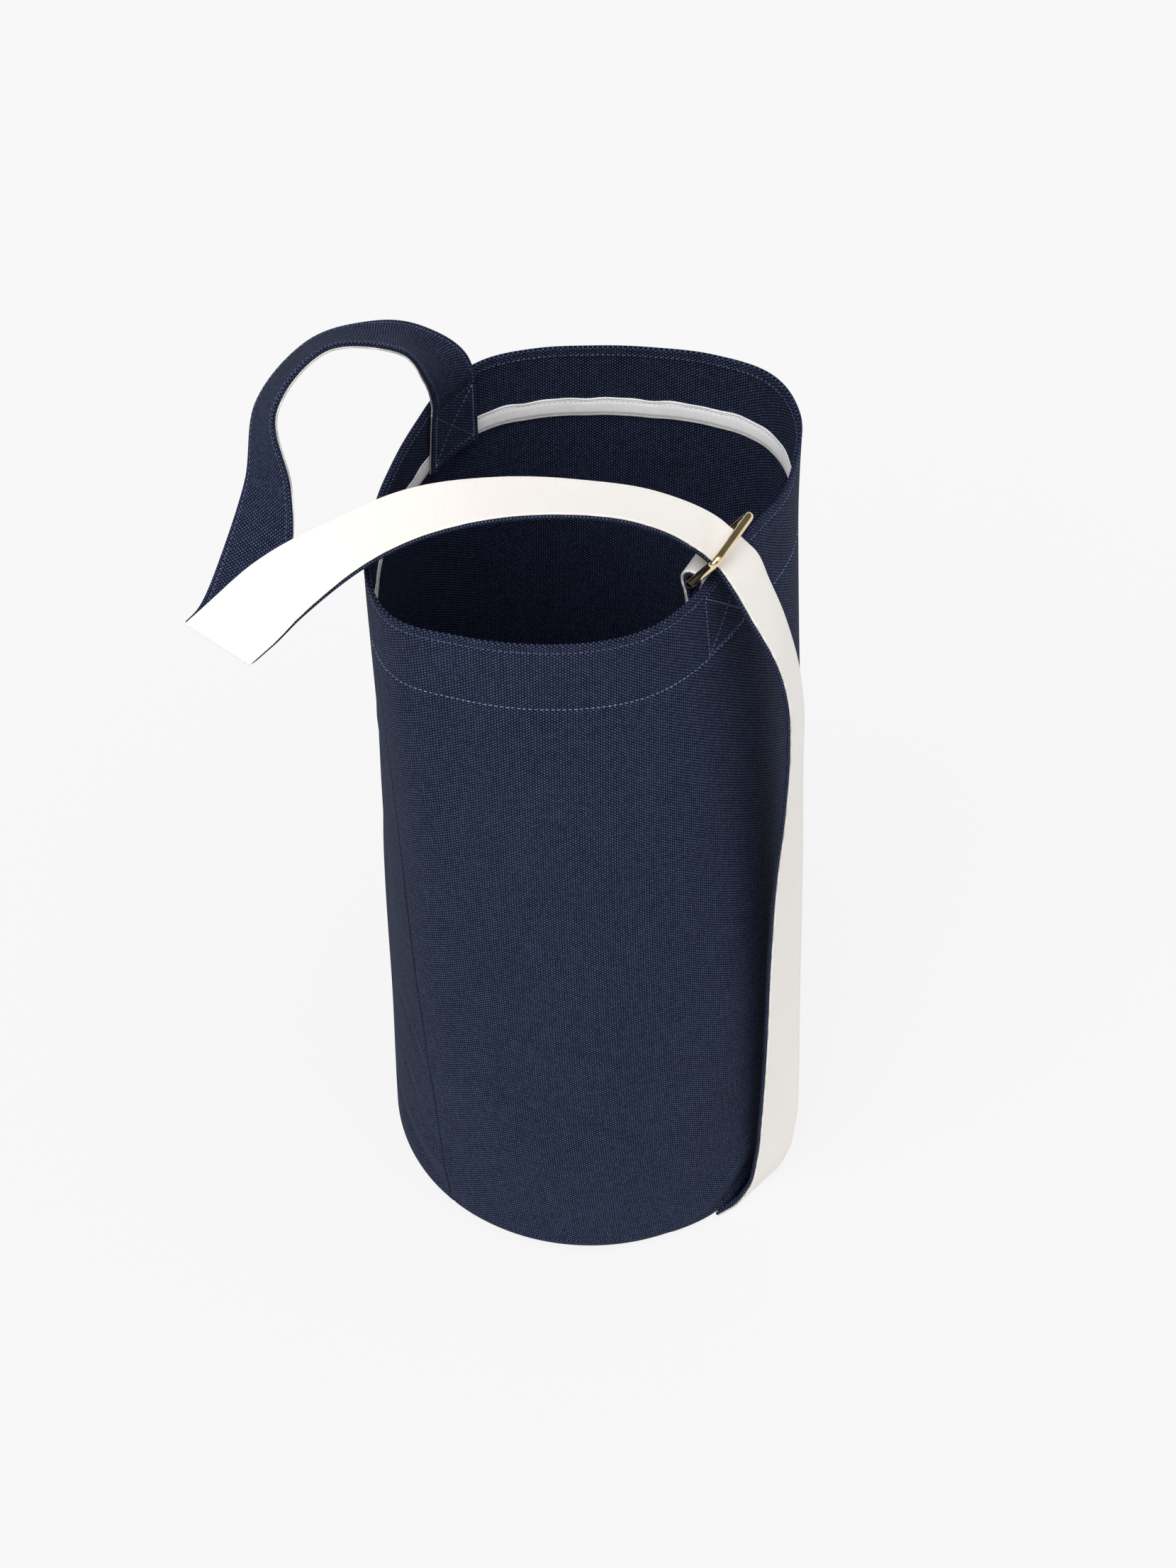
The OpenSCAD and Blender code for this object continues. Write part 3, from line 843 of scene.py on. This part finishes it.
def width_share(t):
    """Share of the full width, which the ring gathers a little."""
    return 1 - GATHERED / STRAP_W * np.exp(-((t - PASS_MID) / 0.9) ** 4)


def sewn_place(across, z, height):
    """Place on the inside of the wall near -X, for the strap's sewn end. height is off its middle layer."""
    turn = 179.0 - across / (math.pi * SEWN_R / 180)
    return wall_point(turn, z, SEWN_IN + height)


def ribbon_places(t, section):
    """Grid of points for a cross-section swept along the route. t below 0 is the sewn end, 1 for each 10 mm.
    Its start is drawn onto the wall's lining below the height where it comes free."""
    free = np.maximum(t, 0)
    middle, wide, _, face = strap_frame(free)
    run = np.minimum(t, 0)[:, None] * 10.0
    share = width_share(free)[:, None]
    x, h = section[None, :, 0] * share, section[None, :, 1]
    curl = 1.1 * np.exp(-((free - PASS_MID) / 1.3) ** 2)[:, None] * (section[None, :, 0] / 20) ** 2
    flutter = 0.25 * np.sin(free * 2.1)[:, None] * section[None, :, 0] / 20 * np.minimum(free, 1)[:, None]
    lifted = h - curl + flutter
    points = middle[:, None, :] + wide[:, None, :] * x[..., None] + face[:, None, :] * lifted[..., None]
    points[..., 2] += run
    z = points[..., 2]
    sewn = np.clip((SEWN_FREE - z) / SEWN_FADE, 0, 1) * (t[:, None] < 1.2)
    sewn = sewn * sewn * (3 - 2 * sewn)
    on_wall = sewn_place(section[None, :, 0] + 0 * z, np.minimum(z, BAG_H + 4), h + 0 * z)
    return points * (1 - sewn[..., None]) + on_wall * sewn[..., None]


def lengths(t):
    """Length along the strap at places t, in millimetres."""
    fine = np.linspace(0, ROUTE_END, 2400)
    p = route_at(fine)[0]
    run = np.concatenate([[0], np.cumsum(np.linalg.norm(np.diff(p, axis=0), axis=1))])
    return np.interp(np.maximum(t, 0), fine, run) + np.minimum(t, 0) * 10


def strap_layer(name, t, low, high, half, bulge, material, nodes):
    """One ply of a stretch of the strap. low and high are its faces, measured from the strap's middle."""
    section = ply_section(low, high, half, bulge)
    grid = ribbon_places(t, section).transpose(1, 0, 2)
    around = np.concatenate([[0], np.cumsum(np.hypot(*np.diff(section, axis=0).T))])
    uv = np.stack(np.broadcast_arrays(around[:, None], lengths(t)[None, :]), -1)
    piece = tube_mesh(name, grid, uv, material)
    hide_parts(*nodes)
    return piece


def edge_rows(name, t, height, direction, material):
    """The two rows of stitches along a face of the strap."""
    lines = [ribbon_places(t, np.array([[x, height], [x, height + direction]]))
             for x in (-EDGE_ROW, EDGE_ROW)]
    return edge_stitches(name, lines, material)


def make_strap_part(label, start, end, step, nodes, attach):
    """One stretch of the strap with its two layers and its stitch rows. attach is called on each piece."""
    t = np.linspace(start, end, int(round((end - start) / step)) + 1)
    join = (UNDER_PLY - TOP_PLY) / 2
    top, bottom = join + TOP_PLY, join - UNDER_PLY
    canvas = strap_layer(f"{label}_canvas_layer", t, join, top, STRAP_W / 2, 0.15,
                         NAVY, [n + "_canvas" for n in nodes])
    cream = strap_layer(f"{label}_cream_layer", t, bottom, join - 0.02, STRAP_W / 2 - 0.35, 0.0,
                        CREAM, [n + "_twill" for n in nodes])
    over = edge_rows(f"{label}_blue_stitches", t, top - 0.16, 1.0, DIM)
    under = edge_rows(f"{label}_cream_stitches", t, bottom + 0.16, -1.0, PALE)
    for piece in (canvas, cream, over, under):
        attach(piece)


def at(t):
    """A place on the route in metres."""
    return tuple(route_at(t)[0][0] * MM)


def make_strap():
    """The strap in four stretches."""
    def shoulder(piece):
        at(0.0)
        at(SHOULDER_END)
        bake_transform(piece)

    def neck(piece):
        at(LOOP_END)
        at(PASS_START)
        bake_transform(piece)

    def bend(piece):
        at(PASS_END)
        at(DROP_START)
        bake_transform(piece)

    def foot(piece):
        at(DROP_END)
        at(ROUTE_END)
        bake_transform(piece)

    make_strap_part("strap_rise", -4.7, LOOP_MID, 0.09, ["strap_end", "strap_shoulder"], shoulder)
    make_strap_part("strap_return", LOOP_MID, PASS_MID, 0.07,
                    ["strap_loop", "strap_neck", "strap_pass"], neck)
    make_strap_part("strap_fall", PASS_MID, DROP_MID, 0.07, ["strap_bend"], bend)
    make_strap_part("strap_hem", DROP_MID, ROUTE_END, 0.06, ["strap_drop", "strap_foot"], foot)


# ---------------------------------------------------------------- tab and ring

def tab_line():
    """Middle line of the tab in the plane across the bar: outer leg up, round the bar, inner leg down."""
    half = TAB_T / 2 + 0.1
    eye = EYE_R + TAB_T / 2 + 0.5
    low = -11.5
    leg = [[half, z] for z in np.linspace(-TAB_DROP, low, 16)]
    turn_in = [[half + (eye - half) * (1 - math.cos(math.pi * s)) / 2 * 0.85, low + 10.1 * s]
               for s in (0.25, 0.5, 0.75)]
    arc = [[eye * math.cos(a), eye * math.sin(a)] for a in np.radians(np.linspace(-18, 198, 15))]
    outer = leg + turn_in + arc
    inner = [[-x, z] for x, z in (leg + turn_in)[::-1]]
    line = np.array(outer + inner)
    run = np.concatenate([[0], np.cumsum(np.hypot(*np.diff(line, axis=0).T))])
    fine = np.linspace(0, run[-1], 150)
    smooth = np.stack([np.interp(fine, run, line[:, i]) for i in (0, 1)], -1)
    for _ in range(6):
        smooth[1:-1] = (smooth[:-2] + 2 * smooth[1:-1] + smooth[2:]) / 4
    return smooth, fine


def tab_width(z):
    """Width of the tab at a height off the bar. It is narrower at the eye."""
    return EYE_W + (TAB_W - EYE_W) * np.clip((-7 - z) / 13.0, 0, 1)


def tab_places(section):
    """Grid of the tab's points. Below the rim both legs lie against the wall's lining."""
    line, run = tab_line()
    way = unit(np.gradient(line, axis=0))
    out = np.stack([-way[:, 1], way[:, 0]], -1)
    share = (tab_width(line[:, 1]) / TAB_W)[:, None]
    local = line[:, None, :] + out[:, None, :] * section[None, :, 1:2]
    across = section[None, :, 0] * share
    turn, dip = math.radians(BAR_TURN), math.radians(BAR_DIP)
    level = np.array([math.cos(turn), math.sin(turn), 0])
    normal = np.array([math.sin(turn), -math.cos(turn), 0])
    bar = level * math.cos(dip) - np.array([0, 0, math.sin(dip)])
    upward = level * math.sin(dip) + np.array([0, 0, math.cos(dip)])
    points = BAR_AT + across[..., None] * bar + local[..., 0:1] * normal + local[..., 1:2] * upward
    z = points[..., 2]
    angle = np.degrees(np.arctan2(points[..., 1], points[..., 0]))
    on_wall = wall_point(angle, np.minimum(z, BAG_H), TAB_IN - local[..., 0])
    sewn = np.clip((BAR_AT[2] - 8 - z) / 14.0, 0, 1)
    sewn = (sewn * sewn * (3 - 2 * sewn))[..., None]
    points[..., :2] = points[..., :2] * (1 - sewn) + on_wall[..., :2] * sewn
    return points, run


def tab_layer(name, low, high, half, material, node):
    """One ply of the tab. low and high are its faces, measured from the tab's middle."""
    section = ply_section(low, high, half, 0.0)
    grid, run = tab_places(section)
    around = np.concatenate([[0], np.cumsum(np.hypot(*np.diff(section, axis=0).T))])
    uv = np.stack(np.broadcast_arrays(around[:, None], run[None, :]), -1)
    piece = tube_mesh(name, grid.transpose(1, 0, 2), uv, material)
    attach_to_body(piece, "bag")
    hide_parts(node)


def make_tab():
    """The tab's two plies and the stitches along the edges of its cream side."""
    tab_layer("tab_canvas_layer", -0.1, 1.65, TAB_W / 2, NAVY, "tab_canvas")
    tab_layer("tab_cream_layer", -1.65, -0.12, TAB_W / 2 - 0.3, CREAM, "tab_twill")
    lines = [tab_places(np.array([[x, -1.5], [x, -2.5]]))[0] for x in (-EDGE_ROW, EDGE_ROW)]
    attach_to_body(edge_stitches("tab_edge_stitches", lines, PALE), "bag")


def wall_lines(name, lines, inside, depth, material):
    """Rows of stitches on the wall along straight lines between places [turn, z]."""
    places, ways = [], []
    for start, end in lines:
        flat = start + (end - start) * np.linspace(0, 1, 60)[:, None]
        place, way = resample(wall_point(flat[:, 0], flat[:, 1], depth), STITCH_GAP)
        places.append(place)
        ways.append(way)
    places, ways = np.concatenate(places), np.concatenate(ways)
    out = places * [1, 1, 0]
    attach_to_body(stitches(name, places, ways, -out if inside else out, material), "bag")


def box_and_cross(name, corners, inside, depth):
    """Stitched box with a cross, on the wall. corners are [turn, z] of its four corners in order."""
    a, b, c, d = (np.array(p, float) for p in corners)
    # One thread stitches the whole box: the diagonal from a to c is drawn in the blue thread as painted
    # highlight, the other lines in its darker copy as painted shade.
    wall_lines(name, ((a, b), (b, c), (c, d), (d, a), (b, d)), inside, depth, DIM)
    wall_lines(f"{name}_diagonal", ((a, c),), inside, depth, BLUE)


def make_boxes():
    """The stitched boxes that hold the tab and the strap's sewn end, on both faces of the wall."""
    tab = [(-7.5, BOX_HIGH), (15.5, BOX_HIGH), (15.5, BOX_LOW), (-7.5, BOX_LOW)]
    end = [(170.5, BOX_HIGH), (188, BOX_HIGH), (188, BOX_LOW), (170.5, BOX_LOW)]
    box_and_cross("tab_box_outside", tab, False, 0.0)
    box_and_cross("sewn_end_box_outside", end, False, 0.0)
    box_and_cross("sewn_end_box_inside", end, True, SEWN_IN + 1.7)


def finish_ring():
    """The ring keeps its CAD shape and takes the gold material."""
    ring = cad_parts["ring"]
    ring.data.materials.clear()
    ring.data.materials.append(GOLD)
    for slot in ring.material_slots:
        slot.material = GOLD


make_camera()
bpy.context.scene.view_settings.view_transform = "Standard"
make_world()
make_lights()
make_floor()
make_panels()
make_facings()
make_facing_tapes()
make_seam_tapes()
make_base()
make_wall_stitches()
make_strap()
make_tab()
make_boxes()
finish_ring()
